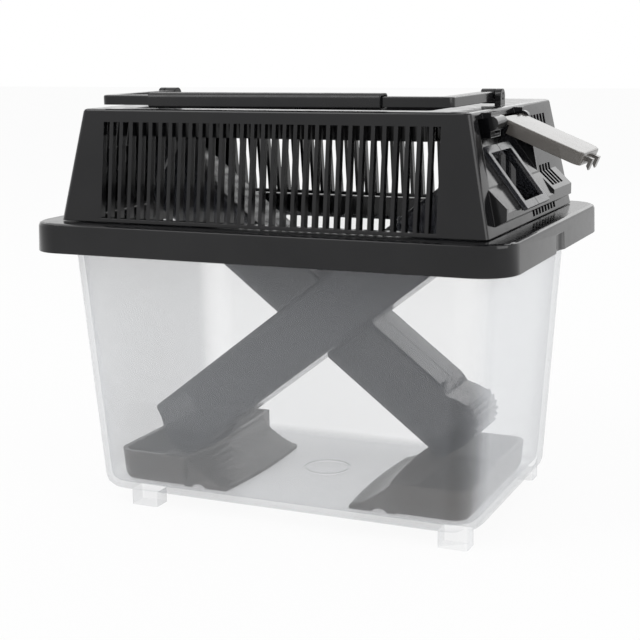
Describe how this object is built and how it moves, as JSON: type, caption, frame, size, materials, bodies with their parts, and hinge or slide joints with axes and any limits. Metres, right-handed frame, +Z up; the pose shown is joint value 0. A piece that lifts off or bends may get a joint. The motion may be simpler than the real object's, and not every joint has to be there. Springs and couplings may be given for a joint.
{
  "type": "cricket keeper",
  "caption": "Clear tub with a vented black lid, sloping smoked feeding tubes with hinged doors, a top hatch, ribbed trays and a folding carrying handle.",
  "frame": {"origin": "centre of the underside of the tub's floor; the feet reach 5.8 mm below it", "axes": "+X along the length towards the part-open door, -Y towards the front, +Z up"},
  "size_m": [0.195, 0.1274, 0.1537],
  "materials": {
    "clear_plastic": "clear moulded plastic",
    "black_plastic": "glossy black moulded plastic",
    "smoke_plastic": "smoked translucent plastic",
    "brown_smoke_plastic": "brown smoked translucent plastic"
  },
  "bodies": {
    "tub_body": {"tub": "clear_plastic", "tray_left": "brown_smoke_plastic", "tray_right": "brown_smoke_plastic"},
    "lid": {"rim_frame": "black_plastic", "hood": "black_plastic", "tube_front_near": "smoke_plastic", "tube_front_far": "smoke_plastic", "tube_rear_near": "smoke_plastic", "tube_rear_far": "smoke_plastic"},
    "bail": {"handle": "black_plastic", "handle_grip": "black_plastic"},
    "top_hatch": {"hatch": "smoke_plastic"},
    "right_door": {"door_right": "smoke_plastic"},
    "left_door": {"door_left": "smoke_plastic"}
  },
  "joints": [
    {"name": "lid_lift", "type": "slide", "parent": "tub_body", "child": "lid", "axis": [0, 0, 1], "range_m": [0, 0.12]},
    {"name": "handle_swing", "type": "hinge", "parent": "lid", "child": "bail", "pos_m": [0, 0, 0.1452], "axis": [-1, 0, 0], "range_deg": [0, 180]},
    {"name": "hatch_swing", "type": "hinge", "parent": "lid", "child": "top_hatch", "pos_m": [0, 0.0376, 0.1349], "axis": [-1, 0, 0], "range_deg": [0, 90]},
    {"name": "door_right_swing", "type": "hinge", "parent": "lid", "child": "right_door", "pos_m": [0.0757, -0.014, 0.138], "axis": [0, -1, 0], "range_deg": [-41.5, 100]},
    {"name": "door_left_swing", "type": "hinge", "parent": "lid", "child": "left_door", "pos_m": [-0.0757, 0.014, 0.138], "axis": [0, 1, 0], "range_deg": [0, 141]}
  ]
}
